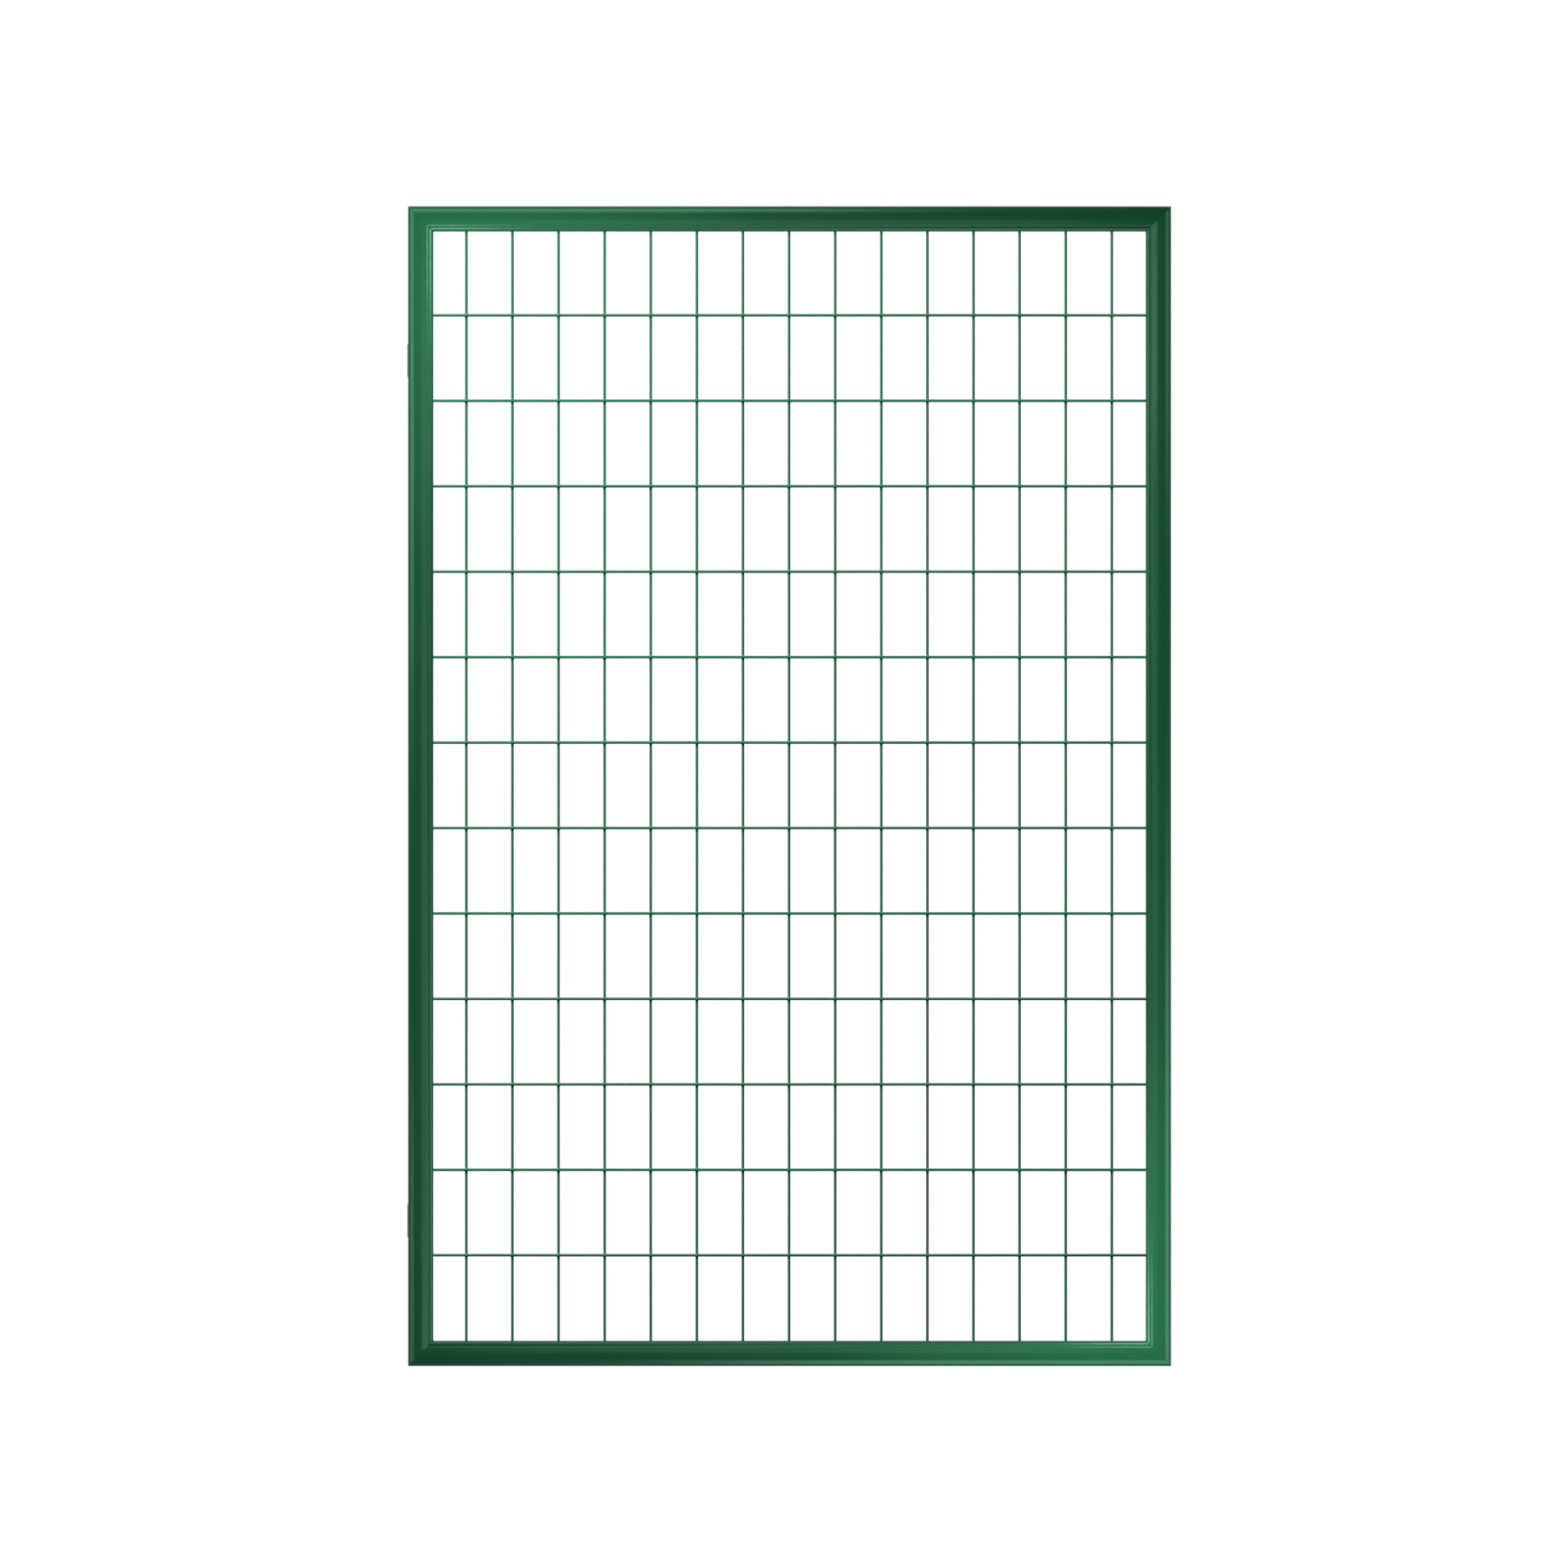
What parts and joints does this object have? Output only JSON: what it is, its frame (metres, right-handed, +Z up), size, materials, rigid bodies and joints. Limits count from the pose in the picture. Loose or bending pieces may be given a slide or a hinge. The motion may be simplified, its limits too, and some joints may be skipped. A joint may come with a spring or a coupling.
{
  "type": "mesh pedestrian gate leaf",
  "caption": "Garden gate leaf: welded wire mesh held in a mitred frame of rolled green section, with two hinge barrels welded behind one stile.",
  "frame": {"origin": "on the axis of the hinge pins, at the lower hinge's bearing face", "axes": "+Z up along the hinge axis, +X from the hinge stile towards the lock stile, -Y out of the gate's front"},
  "size_m": [0.9029, 0.0475, 1.371],
  "materials": {
    "coated_frame": "glossy green coating over galvanised steel",
    "coated_wire": "glossy green coating over galvanised wire",
    "coated_hinge": "green coating over steel"
  },
  "bodies": {
    "root": {"hinge_stile": "coated_frame", "lock_stile": "coated_frame", "top_rail": "coated_frame", "bottom_rail": "coated_frame", "mesh_panel": "coated_wire", "lower_hinge": "coated_hinge", "upper_hinge": "coated_hinge"}
  },
  "joints": []
}
